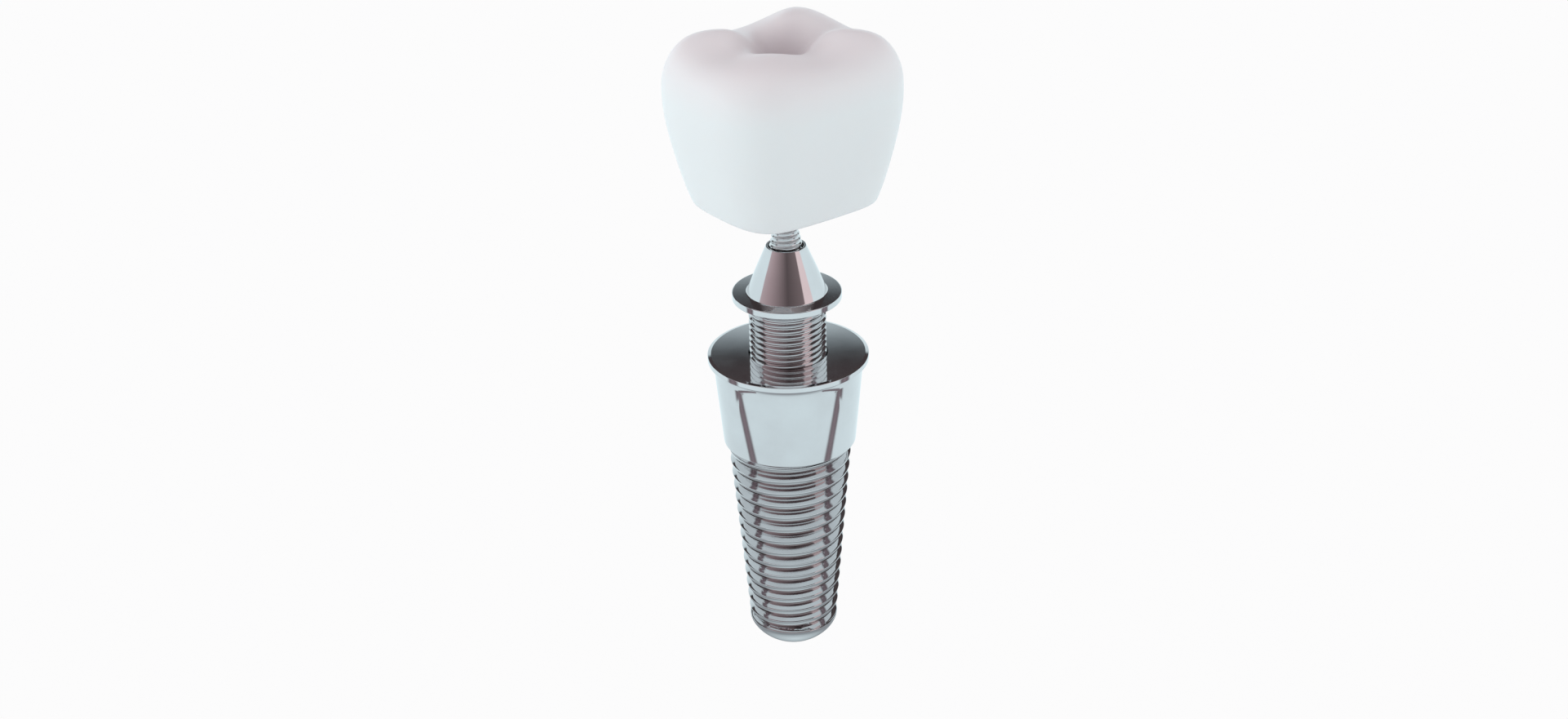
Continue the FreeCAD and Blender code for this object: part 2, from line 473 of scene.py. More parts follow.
@dataclass(frozen=True)
class PolishedTitanium(Finish):
    """Titanium turned on a lathe and polished: a grey mirror with faint turning lines."""

    colour: str = "d2cfd0"
    pale_colour: str = "d8d6d7"
    roughness: float = 0.06
    line_spacing: float = 0.03  # between turning lines
    line_depth: float = 0.00012
    line_breaks: float = 20.0  # to a metre round the axis, so few that each line runs on
    patch_size: float = 5 / 3  # of the slightly paler patches

    def shade(self, tree: Tree) -> Node:
        """Metal whose turning lines run round the axis.

        Args:
            tree: the material's node tree.

        Returns:
            The surface shader.
        """
        place = add_node(tree, "ShaderNodeTexCoord").outputs["Object"]
        stretch = (self.line_breaks, self.line_breaks, 1 / (self.line_spacing * MM))
        lines = add_node(tree, "ShaderNodeMapping", Vector=place, Scale=stretch)
        marks = add_node(
            tree, "ShaderNodeTexNoise", Vector=lines, Scale=1.0, Detail=2.0
        ).outputs["Fac"]
        patches = add_node(
            tree, "ShaderNodeTexNoise", Vector=place, Scale=1 / (self.patch_size * MM), Detail=4.0
        ).outputs["Fac"]
        colour = colour_ramp(tree, patches, ((0.35, self.colour), (0.65, self.pale_colour)))
        dull = add_node(
            tree,
            "ShaderNodeMapRange",
            Value=patches,
            From_Min=0.3,
            From_Max=0.7,
            To_Min=self.roughness * 0.85,
            To_Max=self.roughness * 1.2,
        )
        bump = add_node(
            tree, "ShaderNodeBump", Height=marks, Distance=self.line_depth * MM, Strength=1.0
        )
        return add_node(
            tree,
            "ShaderNodeBsdfPrincipled",
            Base_Color=colour,
            Metallic=1.0,
            Roughness=dull,
            Normal=bump,
        )


@dataclass(frozen=True)
class GlazedCeramic(Finish):
    """Dental ceramic, glazed and fired: milky, a little see-through, softly glossy."""

    cool_lit_low_colour: str = "e9f1f1"
    warm_lit_top_colour: str = "ece9ea"
    # colour of the painted shade in the hollow between the cusps
    fossa_shade_colour: str = "b9adb1"
    fossa_shade_reach: float = 2.3  # from the axis, of the painted shade in the hollow between the cusps
    fossa_shade_strength: float = 0.8
    warm_light_height: float = 16.0  # where the painted warm light on the chewing side begins
    fade: float = 2.2
    roughness: float = 0.34
    cloud_size: float = 2.0
    cloud_share: float = 0.2
    grain_size: float = 1 / 12
    grain_depth: float = 0.002
    light_depth: float = 0.6  # that light goes into the ceramic

    def shade(self, tree: Tree) -> Node:
        """Ceramic with painted light, cooler towards the gum and warmer from above on the chewing
        side, and painted shade in the hollow on top.

        Args:
            tree: the material's node tree.

        Returns:
            The surface shader.
        """
        place = add_node(tree, "ShaderNodeTexCoord").outputs["Object"]
        height = add_node(tree, "ShaderNodeSeparateXYZ", Vector=place).outputs["Z"]
        # Painted light: the colour turns from a cool tint below to a warm tint on top, as if lit
        # warmly from above.
        share = add_node(
            tree,
            "ShaderNodeMapRange",
            Value=height,
            From_Min=(self.warm_light_height - self.fade / 2) * MM,
            From_Max=(self.warm_light_height + self.fade / 2) * MM,
        )
        clouds = add_node(
            tree, "ShaderNodeTexNoise", Vector=place, Scale=1 / (self.cloud_size * MM), Detail=3.0
        ).outputs["Fac"]
        mixed = add_node(
            tree,
            "ShaderNodeMath",
            {"operation": "MULTIPLY_ADD"},
            _0=clouds,
            _1=self.cloud_share,
            _2=share,
        )
        lit_glaze_tint = colour_ramp(tree, mixed, ((0.1, self.cool_lit_low_colour), (1.1, self.warm_lit_top_colour)))
        # Painted shade: a darker colour in the hollow between the cusps, strongest at the axis.
        inner = add_node(
            tree,
            "ShaderNodeMapRange",
            {"interpolation_type": "SMOOTHSTEP"},
            Value=axis_distance(tree, place),
            From_Min=self.fossa_shade_reach * MM,
            From_Max=0.1 * MM,
            To_Max=self.fossa_shade_strength,
        )
        colour = add_node(
            tree,
            "ShaderNodeMix",
            {"data_type": "RGBA"},
            Factor=inner,
            A=lit_glaze_tint,
            B=linear(self.fossa_shade_colour),
        ).outputs["Result"]
        grain = add_node(
            tree, "ShaderNodeTexNoise", Vector=place, Scale=1 / (self.grain_size * MM), Detail=2.0
        ).outputs["Fac"]
        bump = add_node(
            tree, "ShaderNodeBump", Height=grain, Distance=self.grain_depth * MM, Strength=1.0
        )
        return add_node(
            tree,
            "ShaderNodeBsdfPrincipled",
            Base_Color=colour,
            Roughness=self.roughness,
            IOR=1.5,
            Specular_IOR_Level=0.2,
            Subsurface_Weight=0.25,
            Subsurface_Radius=(1.0, 0.9, 0.85),
            Subsurface_Scale=self.light_depth * MM,
            Coat_Weight=0.05,
            Coat_Roughness=0.08,
            Normal=bump,
        )


# ---------------------------------------------------------------- pieces


@dataclass
class FixtureLook:
    """The root with its coarse thread, the collar and the platform."""

    platform_radius: float = 3.11
    rim_radius: float = 3.25
    rim_drop: float = 0.03
    rim_band: float = 0.22
    throat_radius: float = 2.99
    throat_height: float = 3.13
    lip_width: float = 0.07
    lip_drop: float = 0.04
    lip_length: float = 0.25
    foot_radius: float = 2.70
    collar_height: float = 3.85
    bore_radius: float = 1.599
    bore_floor: float = -0.82
    crest_radius: float = 2.54
    crest_taper: float = 0.0843
    pitch: float = 0.59
    depth: float = 0.33
    first_crest_depth: float = 0.20
    apex_depth: float = 8.42
    apex_radius: float = 1.85
    apex_height: float = 1.33
    apex_slimness: float = 1.2
    apex_bevel: float = 0.03
    apex_overlap: float = 0.06  # of the thread with the rounded end
    crest_land: float = 0.055
    crest_edge: float = 0.010
    wall_inset: float = 0.008
    wall_pull: tuple[float, float] = (0.06, 0.25)
    shelf: float = 0.06
    root_fillet: float = 0.02
    root_sag: float = 0.002
    front_share: float = 0.25  # of a turn, from the outline's start to the front
    drill_point: float = 31.0  # degrees

    def build(self, finish: Finish) -> None:
        """Turn the collar and the rounded end, sweep the thread, and join them.

        Args:
            finish: what its surface is.
        """
        piece = self.collar()
        combine(piece, self.thread(), Cut.JOIN)
        combine(piece, self.rounded_end(), Cut.JOIN)
        combine(piece, self.bore(), Cut.REMOVE)
        smooth(piece, degrees=38)
        place_piece(piece, Body.ROOT, "implant_fixture", finish)

    def collar(self) -> Piece:
        """The flared collar as one turned solid.

        Returns:
            The collar, which the others are joined to.
        """
        top = self.collar_height
        rim_top = top - self.rim_drop
        rim_foot = rim_top - self.rim_band
        lip = curve_points(
            Vector((self.throat_radius + self.lip_width, rim_foot - self.lip_drop)),
            Vector((self.throat_radius + 0.005, rim_foot - self.lip_length)),
            Vector((self.throat_radius, self.throat_height)),
            steps=8,
        )
        head = rounded(
            (
                Corner(0, top),
                Corner(self.platform_radius, top, 0.03),
                Corner(self.rim_radius, rim_top, 0.02),
                Corner(self.rim_radius, rim_foot, 0.03),
                Corner(lip[0].x, lip[0].y),
            )
        )
        foot = rounded(
            (
                Corner(self.throat_radius, self.throat_height),
                Corner(self.foot_radius, 0, 0.02),
                Corner(0, 0),
            )
        )
        return spin_outline("implant_fixture_look", head + lip[1:-1] + foot, segments=192)

    def thread(self) -> Piece:
        """The tapered root thread, whose turns look like stacked bowls.

        Returns:
            The threaded rod.
        """
        root = self.pitch - self.shelf
        wall = (
            Vector((self.wall_inset, self.crest_land)),
            Vector(self.wall_pull),
            Vector((self.depth - self.root_fillet, root - self.root_fillet)),
        )
        deepest = root + self.root_sag
        groove = bowl_groove(self.pitch, self.depth, self.shelf, self.crest_edge, wall, deepest)
        top = self.pitch - self.first_crest_depth + self.front_share * self.pitch
        turns = math.ceil((top + self.apex_depth) / self.pitch)
        rod = Thread(
            crest_radius=self.crest_radius,
            pitch=self.pitch,
            top_height=top,
            turns=turns,
            groove=groove,
            taper=self.crest_taper,
        ).sweep("root_thread")
        with editing(rod):
            bpy.ops.mesh.bisect(
                plane_co=(0, 0, -(self.apex_depth + self.apex_overlap) * MM),
                plane_no=(0, 0, 1),
                use_fill=True,
                clear_inner=True,
            )
            close_up()
        return rod

    def rounded_end(self) -> Piece:
        """The plain end of the root, like the bottom of a bowl.

        Returns:
            The end.
        """
        rim, low, steps = self.apex_radius, -self.apex_depth, 16
        points = [Vector((0, low)), Vector((rim - 0.05, low)), Vector((rim - 0.02, low - 0.008))]
        for i in range(steps + 1):
            turn = math.pi / 2 * i / steps
            out = math.cos(turn) ** self.apex_slimness
            down = math.sin(turn) ** self.apex_slimness
            drop = (self.apex_height - self.apex_bevel) * down
            points.append(Vector((rim * out, low - self.apex_bevel - drop)))
        return spin_outline("rounded_end", points, segments=128)

    def bore(self) -> Piece:
        """The drill that leaves the blind hole for the screw.

        Returns:
            The drill.
        """
        reach = self.collar_height + OVERSHOOT
        tip = self.bore_floor - self.bore_radius * math.tan(math.radians(self.drill_point))
        points = [
            Vector((0, reach)),
            Vector((self.bore_radius, reach)),
            Vector((self.bore_radius, self.bore_floor)),
            Vector((0, tip)),
        ]
        return spin_outline("bore", points, segments=96)


def curve_points(start: Vector, pull: Vector, end: Vector, steps: int) -> list[Vector]:
    """Points along a curve that a third point pulls on.

    Args:
        start: where it starts.
        pull: the point that it bends towards.
        end: where it ends.
        steps: number of pieces.

    Returns:
        The points, both ends among them.
    """
    shares = [i / steps for i in range(steps + 1)]
    return [start.lerp(pull, s).lerp(pull.lerp(end, s), s) for s in shares]


@dataclass
class AbutmentLook:
    """The flange with its cone."""

    flange_height: float = 6.293
    flange_radius: float = 2.187
    thickness: float = 0.26
    cone_base: float = 1.60
    cone_top: float = 0.795
    cone_height: float = 1.965
    bulge: float = 0.015
    bore_radius: float = 0.71

    def build(self, finish: Finish) -> None:
        """Turn the abutment in one piece, bored through.

        Args:
            finish: what its surface is.
        """
        low = self.flange_height
        high = low + self.thickness
        top = high + self.cone_height
        middle = (self.cone_base + self.cone_top) / 2 + self.bulge
        outline = rounded(
            (
                Corner(self.bore_radius, (top + low) / 2),
                Corner(self.bore_radius, low, 0.03),
                Corner(self.flange_radius, low, 0.02),
                Corner(self.flange_radius, high, 0.03),
                Corner(self.cone_base, high, 0.05),
                Corner(middle, high + self.cone_height / 2),
                Corner(self.cone_top, top, 0.012),
                Corner(self.bore_radius, top, 0.012),
                Corner(self.bore_radius, (top + low) / 2),
            )
        )
        piece = spin_outline("abutment_look", outline, segments=160)
        smooth(piece, degrees=60)
        place_piece(piece, Body.ABUTMENT, "abutment", finish)


@dataclass
class ScrewLook:
    """The double-ended screw: threaded shank, plain stem and threaded tip."""

    flange_height: float = 6.293
    cone_top_height: float = 8.518
    shank_radius: float = 1.549
    shank_length: float = 4.60
    neck_radius: float = 1.42
    neck_length: float = 0.14
    pitch: float = 0.25
    depth: float = 0.11
    land: float = 0.036
    shelf: float = 0.045
    stem_radius: float = 0.65
    tip_length: float = 0.95
    tip_radius: float = 0.668
    tip_end_radius: float = 0.455
    tip_pitch: float = 0.20
    tip_depth: float = 0.075
    flange_gap: float = 0.02  # between the shank and the flange over it
    wall_bulge: float = 0.05  # out of a straight line, as a share of the depth
    edge_share: float = 0.03  # rounding of the crest, beside the depth
    fillet_share: float = 0.06  # rounding of the root, beside the depth
    plain_foot: float = 0.25  # below the shank's thread

    def build(self, finish: Finish) -> None:
        """Turn the core, sweep both threads over it and join them.

        Args:
            finish: what its surface is.
        """
        piece = self.core()
        combine(piece, self.shank_thread(), Cut.JOIN)
        combine(piece, self.tip_thread(), Cut.JOIN)
        smooth(piece, degrees=50)
        place_piece(piece, Body.SCREW, "abutment_screw", finish)

    def core(self) -> Piece:
        """Everything under the threads.

        Returns:
            The core, which the threads are joined to.
        """
        top = self.flange_height - self.flange_gap
        foot = self.flange_height - self.shank_length
        core_radius = self.shank_radius - self.depth * 1.05
        tip_core_radius = self.tip_radius - self.tip_depth * 1.1
        tip_foot = self.cone_top_height
        tip_top = tip_foot + self.tip_length
        outline = rounded(
            (
                Corner(0, tip_top),
                Corner(self.tip_end_radius - 0.10, tip_top, 0.03),
                Corner(self.tip_end_radius - 0.08, tip_top - 0.08),
                Corner(tip_core_radius, tip_foot + 0.02),
                Corner(tip_core_radius, tip_foot - 0.05),
                Corner(self.stem_radius, tip_foot - 0.1),
                Corner(self.stem_radius, top),
                Corner(self.neck_radius, top, 0.02),
                Corner(self.neck_radius, top - self.neck_length),
                Corner(core_radius, top - self.neck_length - 0.02),
                Corner(core_radius, foot + 0.12),
                Corner(core_radius - 0.1, foot),
                Corner(0, foot),
            )
        )
        return spin_outline("abutment_screw_look", outline, segments=128)

    def shank_thread(self) -> Piece:
        """Fine thread of the shank, with narrow crests and walls like bowls.

        Returns:
            The threaded rod.
        """
        top = self.flange_height - self.flange_gap - self.neck_length
        turns = int((self.shank_length - self.neck_length - self.plain_foot) / self.pitch) - 1
        edge, root = self.edge_share * self.depth, self.pitch - self.shelf
        start = Vector((edge, self.land))
        fillet = self.fillet_share
        end = Vector(((1 - fillet) * self.depth, root - fillet * self.depth))
        bulge = self.wall_bulge * self.depth
        pull = start.lerp(end, 0.5) - Vector((bulge, -bulge))
        return Thread(
            crest_radius=self.shank_radius,
            pitch=self.pitch,
            top_height=top,
            turns=turns,
            groove=bowl_groove(
                self.pitch, self.depth, self.shelf, edge, (start, pull, end), root
            ),
        ).sweep("shank_thread")

    def tip_thread(self) -> Piece:
        """Fine tapered thread of the tip.

        Returns:
            The threaded rod.
        """
        top = self.cone_top_height + self.tip_length - 0.03
        turns = int(self.tip_length / self.tip_pitch)
        lean = (self.tip_radius - self.tip_end_radius) / self.tip_length
        rod = Thread(
            crest_radius=self.tip_radius,
            pitch=self.tip_pitch,
            top_height=top - self.cone_top_height,
            turns=turns,
            groove=hollow_groove(self.tip_pitch, self.tip_depth, steps=8),
            taper=-lean,
            segments=64,
        ).sweep("tip_thread")
        with editing(rod):
            bpy.ops.transform.translate(value=(0, 0, self.cone_top_height * MM))
        return rod


def bowl_groove(
    pitch: float, depth: float, shelf: float, edge: float, wall: Sequence[Vector], root: float
) -> tuple[Vector, ...]:
    """Outline of one turn like the side of a bowl: a crest, a wall that tucks in, and a shelf.

    Args:
        pitch: height of the turn.
        depth: of the root.
        shelf: height of the shelf that leads out to the next crest.
        edge: size of the crest's rounding.
        wall: where the wall starts, what it bends towards and where it ends.
        root: drop of the deepest point.

    Returns:
        Depth and drop of each point.
    """
    points = [Vector((edge, 0)), Vector((0.3 * edge, 0.3 * edge)), Vector((0, edge))]
    points += curve_points(*wall, steps=8)
    points.append(Vector((depth, root)))
    points += [Vector((depth * share, pitch - shelf * share)) for share in (0.7, 0.3)]
    points.append(Vector((edge, pitch)))
    return tuple(points)


def hollow_groove(pitch: float, depth: float, steps: int) -> tuple[Vector, ...]:
    """Outline of one turn with a narrow rounded crest and a hollow root.

    Args:
        pitch: height of the turn.
        depth: of the root.
        steps: points across the root.

    Returns:
        Depth and drop of each point.
    """
    crest = 0.12 * pitch
    points = [Vector((0, 0))]
    for i in range(steps + 1):
        share = i / steps
        hollow = 0.06 + 0.94 * math.sin(math.pi * share) ** 0.9
        points.append(Vector((depth * hollow, crest / 2 + (pitch - crest) * share)))
    points.append(Vector((0, pitch)))
    return tuple(points)


@dataclass
class CrownLook:
    """The molar crown with its four cusps, over the socket for the abutment."""

    half_width: float = 2.836
    half_length: float = 3.206
    height: float = 6.10
    turn: float = -53.0
    margin_height: float = 10.445
    cusp_height: float = 1.052
    fossa_depth: float = 0.456
    fossa_ring_size: float = 0.22
    fossa_ring_rise: float = 0.05
    fossa_cusp_share: float = 0.15
    top_reach: float = 0.3  # of the innermost ring, beside the half length
    margin_bevel: float = 0.09
    flange_socket_radius: float = 2.237
    flange_socket_height: float = 0.31
    cone_socket_foot: float = 1.65
    cone_socket_top: float = 0.86
    cone_socket_height: float = 2.275
    tip_socket_radius: float = 0.70
    tip_socket_height: float = 0.95
    count: int = 24
    levels: int = 3
    # size, height as a share, share of the cusps, and squareness across and along
    rings: tuple[tuple[float, float, float, float, float], ...] = (
        (1.000, 0.000, 0.00, 3.28, 4.74),
        (1.075, 0.087, 0.00, 3.23, 4.54),
        (1.188, 0.308, 0.00, 3.18, 4.33),
        (1.309, 0.587, 0.00, 3.12, 4.13),
        (1.329, 0.819, 0.00, 3.07, 3.93),
        (1.290, 0.901, 0.20, 2.93, 3.62),
        (1.133, 0.992, 0.55, 2.78, 3.31),
        (0.773, 1.001, 0.80, 2.64, 3.00),
        (0.496, 1.024, 0.60, 2.49, 2.69),
    )
    # side across, side along, height as a share, and narrowness
    cusps: tuple[tuple[int, int, float, float], ...] = (
        (1, 1, 1.00, 8.4),
        (1, -1, 0.56, 4.2),
        (-1, 1, 1.04, 8.2),
        (-1, -1, 0.945, 7.6),
    )

    def build(self, finish: Finish) -> None:
        """Shape the crown ring by ring, smooth it, and cut its margin and its socket.

        Args:
            finish: what its surface is.
        """
        piece = self.cage()
        apply_modifier(piece, "SUBSURF", levels=self.levels, render_levels=self.levels)
        self.trim_margin(piece)
        combine(piece, self.socket(), Cut.REMOVE)
        smooth(piece, degrees=40)
        place_piece(piece, Body.CROWN, "crown", finish)

    def rise(self, angle: float) -> float:
        """Height of the cusps above the saddles in a direction about the middle.

        Args:
            angle: the direction, in radians.

        Returns:
            The height.
        """
        total = 0.0
        for wide, long, share, narrowness in self.cusps:
            corner = math.atan2(long * self.half_length, wide * self.half_width)
            total += share * max(0.0, math.cos(angle - corner)) ** narrowness
        return total * self.cusp_height

    def ring(
        self, size: float, height: float, cusp_share: float, wide: float, long: float
    ) -> list[Vector]:
        """Points of one ring of the cage, a rounded rectangle that waves over the cusps.

        Args:
            size: beside the margin's.
            height: above the margin.
            cusp_share: how much of the cusps it takes.
            wide: how square it is across the narrow sides.
            long: how square it is across the long sides.

        Returns:
            The ring's points, unturned.
        """
        points = []
        for j in range(self.count):
            angle = 2 * math.pi * j / self.count
            cosine, sine = math.cos(angle), math.sin(angle)
            x = math.copysign(abs(cosine) ** (2 / wide), cosine) * self.half_width * size
            y = math.copysign(abs(sine) ** (2 / long), sine) * self.half_length * size
            points.append(Vector((x, y, height + cusp_share * self.rise(math.atan2(y, x)))))
        return points

    def cage_rings(self) -> list[list[Vector]]:
        """All rings of the cage, unturned, from below the margin up to the hollow on top.

        Returns:
            The rings. The three lowest stand in for the two at the margin and reach below it.
        """
        rings = [self.ring(size, rise * self.height, *rest) for size, rise, *rest in self.rings]
        fossa = self.height - self.fossa_depth
        rings.append(
            self.ring(
                self.fossa_ring_size,
                fossa + self.fossa_ring_rise,
                self.fossa_cusp_share,
                *self.rings[-1][3:],
            )
        )
        margin, second, third = rings[:3]
        inner = [1.5 * b - 0.5 * c for b, c in zip(second, third)]
        below = [3 * (2 * a - b) - 2 * d for a, b, d in zip(margin, second, inner)]
        lowest = [2 * a - b for a, b in zip(below, inner)]
        return [lowest, below, inner] + rings[2:]

    def cage(self) -> Piece:
        """The coarse cage: a ring of points, pulled up and in one ring at a time.

        Returns:
            The cage, open below and closed on top.
        """
        rings = self.cage_rings()
        bpy.ops.object.select_all(action="DESELECT")
        bpy.ops.mesh.primitive_circle_add(vertices=self.count, radius=self.half_width * MM)
        piece = bpy.context.object
        piece.name = "crown_look"
        with editing(piece):
            for _ in rings[1:]:
                bpy.ops.mesh.extrude_region_move(TRANSFORM_OT_translate={"value": (0, 0, MM)})
        spin = Matrix.Rotation(math.radians(self.turn), 4, "Z")
        lift = Vector((0, 0, self.margin_height))
        start = piece.data.vertices[0].co
        first = math.atan2(start.y, start.x)
        for vertex in piece.data.vertices:
            level = round(vertex.co.z / MM)
            angle = math.atan2(vertex.co.y, vertex.co.x) - first
            j = round(angle / (2 * math.pi) * self.count) % self.count
            vertex.co = (spin @ rings[level][j] + lift) * MM
        with editing(piece):
            top = rings[-1]
            highest = max(p.z for p in top) + self.margin_height
            lowest_top = min(p.z for p in top) + self.margin_height
            rim = self.top_reach * self.half_length
            select_where(
                piece,
                "VERT",
                lambda v: (
                    lowest_top - 1e-4 <= v.co.z / MM <= highest + 1e-4
                    and v.co.xy.length / MM < rim
                ),
            )
            bpy.ops.mesh.select_mode(type="EDGE")
            bpy.ops.mesh.fill_grid(span=self.count // 4)
            close_up()
        return piece

    def trim_margin(self, piece: Piece) -> None:
        """Cut the crown level at its margin and round the edge that this leaves.

        Args:
            piece: the crown.
        """
        height = self.margin_height * MM
        with editing(piece):
            bpy.ops.mesh.bisect(
                plane_co=(0, 0, height), plane_no=(0, 0, 1), use_fill=True, clear_inner=True
            )
            select_where(piece, "FACE", lambda f: f.normal.z < -0.99 and f.center.z < height + 1e-6)
            bpy.ops.mesh.region_to_loop()
            bpy.ops.mesh.bevel(offset=self.margin_bevel * MM, segments=4, affect="EDGES")
            close_up()

    def socket(self) -> Piece:
        """What is cut out for the flange, the cone and the tip.

        Returns:
            The cutting body.
        """
        low = self.margin_height
        below = low - OVERSHOOT
        roof = low + self.flange_socket_height
        cone_roof = low + self.cone_socket_height
        tip_roof = cone_roof + self.tip_socket_height
        points = [
            Vector((0, below)),
            Vector((self.flange_socket_radius, below)),
            Vector((self.flange_socket_radius, roof)),
            Vector((self.cone_socket_foot, roof)),
            Vector((self.cone_socket_top, cone_roof)),
            Vector((self.tip_socket_radius, cone_roof)),
            Vector((self.tip_socket_radius, tip_roof)),
            Vector((0, tip_roof)),
        ]
        return spin_outline("socket", points, segments=96)


# ---------------------------------------------------------------- studio


@dataclass
class Studio:
    """Pale floor, soft light, reflecting cards and the camera; camera angles in radians."""

    floor_height: float = -24.0
    floor_size: float = 1200.0
    shade_ring_reach: float = 60.0  # from the axis, over which the floor's tone changes, with painted shade in a ring around the part
    floor_shadow: float = 0.10  # share of the matt board that the camera sees
    camera_place: tuple[float, float, float] = (0.0, -78.661, 42.523)
    pitch: float = 0.4606924
    roll: float = -0.0226002
    yaw: float = -0.0022310
    lens: float = 50.0
    sensor: float = 36.0
    pale: str = "e3f5fa"
    glow: float = 1.15
    fade: float = 1.0  # degrees
    left_share: float = -0.22
    even_glow: float = 1.2
    side_reach: float = 21.0

    def build(self) -> None:
        """Set up the camera, the world, the floor and the reflecting cards."""
        self.camera()
        self.world()
        self.floor()
        self.cards()
        bpy.context.scene.view_settings.view_transform = "Standard"

    def camera(self) -> None:
        """The camera at the photograph's viewing angle."""
        forward = Vector(
            (
                math.sin(self.yaw) * math.cos(self.pitch),
                math.cos(self.yaw) * math.cos(self.pitch),
                -math.sin(self.pitch),
            )
        )
        level = Vector((math.cos(self.yaw), -math.sin(self.yaw), 0))
        upright = level.cross(forward)
        right = math.cos(self.roll) * level + math.sin(self.roll) * upright
        up = -math.sin(self.roll) * level + math.cos(self.roll) * upright
        data = bpy.data.cameras.new("camera")
        data.lens = self.lens
        data.sensor_width = self.sensor
        data.clip_start = 1 * MM
        data.clip_end = 10.0
        camera = bpy.data.objects.new("camera", data)
        turn = Matrix((right, up, -forward)).transposed().to_4x4()
        camera.matrix_world = Matrix.Translation(Vector(self.camera_place) * MM) @ turn
        bpy.context.scene.collection.objects.link(camera)
        bpy.context.scene.camera = camera

    def world(self) -> None:
        """White to the camera, and a room of pale and dim walls to everything else."""
        world = bpy.data.worlds.new("studio")
        bpy.context.scene.world = world
        tree = emptied(world)
        ray = add_node(tree, "ShaderNodeLightPath")
        room = add_node(tree, "ShaderNodeBackground", Color=self.room(tree), Strength=self.glow)
        even = add_node(
            tree, "ShaderNodeBackground", Color=self.soft_light(tree), Strength=self.even_glow
        )
        white = add_node(tree, "ShaderNodeBackground", Color=(1, 1, 1, 1), Strength=1.0)
        lit = add_node(
            tree, "ShaderNodeMixShader", _0=ray.outputs["Is Diffuse Ray"], _1=room, _2=even
        )
        seen = add_node(
            tree, "ShaderNodeMixShader", _0=ray.outputs["Is Camera Ray"], _1=lit, _2=white
        )
        add_node(tree, "ShaderNodeOutputWorld", Surface=seen)

    def soft_light(self, tree: Tree) -> Node:
        """Colour of the light that falls on dull surfaces, by direction.

        Args:
            tree: the world's node tree.

        Returns:
            The colour: cool and bright from the sides, warmer and dimmer from above.
        """
        way = add_node(tree, "ShaderNodeTexCoord").outputs["Generated"]
        split = add_node(tree, "ShaderNodeSeparateXYZ", Vector=way)
        fall = colour_ramp(
            tree,
            split.outputs["Z"],
            ((0.0, "f3f9fa"), (0.25, "eff2f3"), (0.75, "c3babe"), (1.0, "bbb1b5")),
        )
        wide = add_node(tree, "ShaderNodeMath", {"operation": "ABSOLUTE"}, _0=split.outputs["X"])
        sides = add_node(
            tree, "ShaderNodeMath", {"operation": "MULTIPLY_ADD"}, _0=wide, _1=0.95, _2=0.69
        )
        share = add_node(
            tree,
            "ShaderNodeMath",
            {"operation": "MULTIPLY_ADD"},
            _0=split.outputs["X"],
            _1=self.left_share,
            _2=sides,
        )
        return add_node(tree, "ShaderNodeVectorMath", {"operation": "SCALE"}, _0=fall, Scale=share)

    def room(self, tree: Tree) -> Socket:
        """The room's colour by direction.

        Args:
            tree: the world's node tree.

        Returns:
            The colour: pale up to a quarter of the way, dim above, and dim on the camera's side.
        """
        way = add_node(tree, "ShaderNodeTexCoord").outputs["Generated"]
        split = add_node(tree, "ShaderNodeSeparateXYZ", Vector=way)
        back = add_node(
            tree, "ShaderNodeMath", {"operation": "MULTIPLY"}, _0=split.outputs["Y"], _1=-1.0
        )
        round_angle = add_node(
            tree, "ShaderNodeMath", {"operation": "ARCTAN2"}, _0=split.outputs["X"], _1=back
        )
        up_angle = add_node(tree, "ShaderNodeMath", {"operation": "ARCSINE"}, _0=split.outputs["Z"])
        round_share = self.spread(tree, round_angle, -180, 180)
        up_share = self.spread(tree, up_angle, 0, 90)
        walls = colour_ramp(
            tree,
            up_share,
            (
                (0.0, self.pale),
                (24.2 / 90, self.pale),
                (27.0 / 90, "474142"),
                (48.0 / 90, "4a4445"),
                (70.0 / 90, "aeaaac"),
                (1.0, "b2aeb0"),
            ),
        )
        camera_wall = colour_ramp(
            tree,
            round_share,
            (
                (0.5 - 84 / 360, "c0b2b6"),
                (0.5 - 60 / 360, "ad9ca0"),
                (0.5 + 2 / 360, "5c5355"),
                (0.5 + 50 / 360, "7c7072"),
                (0.5 + 52 / 360, "ecdbdd"),
                (0.5 + 76 / 360, "ecdbdd"),
            ),
        )
        level = self.between(tree, round_angle, -83, 78)
        above = self.between(tree, up_angle, 5, 56)
        mask = add_node(tree, "ShaderNodeMath", {"operation": "MULTIPLY"}, _0=level, _1=above)
        return add_node(
            tree, "ShaderNodeMix", {"data_type": "RGBA"}, Factor=mask, A=walls, B=camera_wall
        ).outputs["Result"]

    @staticmethod
    def spread(tree: Tree, angle: Node, low: float, high: float) -> Node:
        """Share of the way that an angle lies from one number of degrees to another.

        Args:
            tree: the world's node tree.
            angle: the angle, in radians.
            low: degrees where the share is nothing.
            high: degrees where it is one.

        Returns:
            The share.
        """
        return add_node(
            tree,
            "ShaderNodeMapRange",
            Value=angle,
            From_Min=math.radians(low),
            From_Max=math.radians(high),
        )

    def between(self, tree: Tree, angle: Node, low: float, high: float) -> Node:
        """One between two numbers of degrees and nothing outside, with a short fade.

        Args:
            tree: the world's node tree.
            angle: the angle, in radians.
            low: degrees where it begins.
            high: degrees where it ends.

        Returns:
            One or nothing, or a share inside the fade.
        """
        enter = self.spread(tree, angle, low - self.fade, low + self.fade)
        leave = self.spread(tree, angle, high + self.fade, high - self.fade)
        return add_node(tree, "ShaderNodeMath", {"operation": "MULTIPLY"}, _0=enter, _1=leave)

